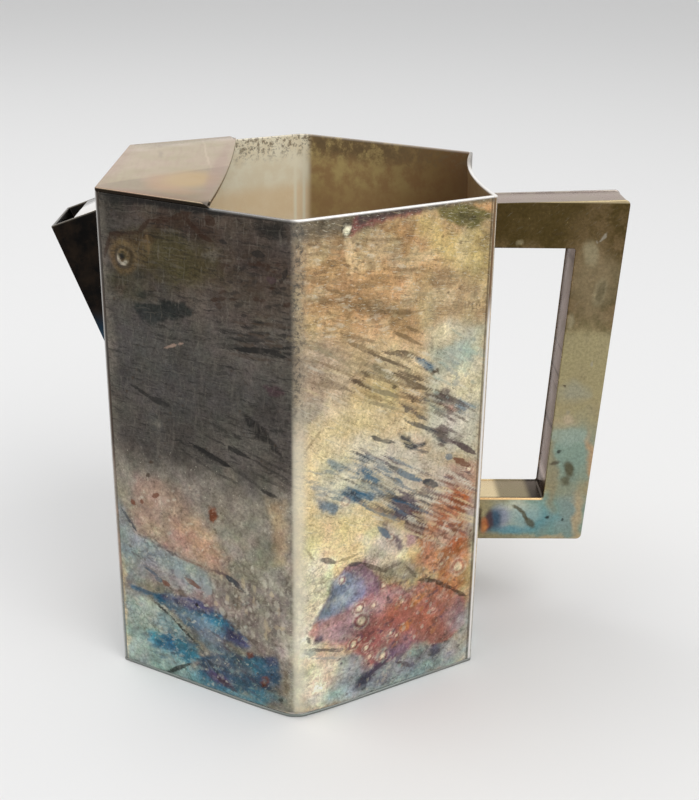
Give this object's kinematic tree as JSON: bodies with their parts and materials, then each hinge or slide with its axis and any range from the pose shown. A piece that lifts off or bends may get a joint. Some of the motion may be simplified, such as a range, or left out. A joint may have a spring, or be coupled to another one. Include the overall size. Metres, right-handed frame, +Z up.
{
  "type": "water pitcher",
  "caption": "Hexagonal water pitcher of soldered silver-plated sheet, with a fixed ice guard over the spout half, a roofed wedge spout and a square box handle.",
  "frame": {"origin": "middle of the underside, on the surface that the pitcher stands on", "axes": "+Z up; +X from the spout to the handle; -Y towards the folded front edge that faces the viewer"},
  "size_m": [0.2016, 0.1484, 0.1794],
  "materials": {
    "body_plate": "silver plate with heavy gold, brown, purple and blue tarnish",
    "guard_plate": "bright silver plate with a faint warm tarnish",
    "spout_plate": "silver plate tarnished almost black",
    "handle_plate": "silver plate with olive-brown and blue-green tarnish and worn edges"
  },
  "bodies": {
    "root": {"base_plate": "body_plate", "front_wall": "body_plate", "back_wall": "body_plate", "spout_wall": "body_plate", "handle_wall": "body_plate", "ice_guard": "guard_plate", "spout_trough": "spout_plate", "spout_roof": "guard_plate", "handle_front_cheek": "handle_plate", "handle_back_cheek": "handle_plate", "handle_outer_strip": "handle_plate", "handle_inner_strip": "handle_plate"}
  },
  "joints": []
}
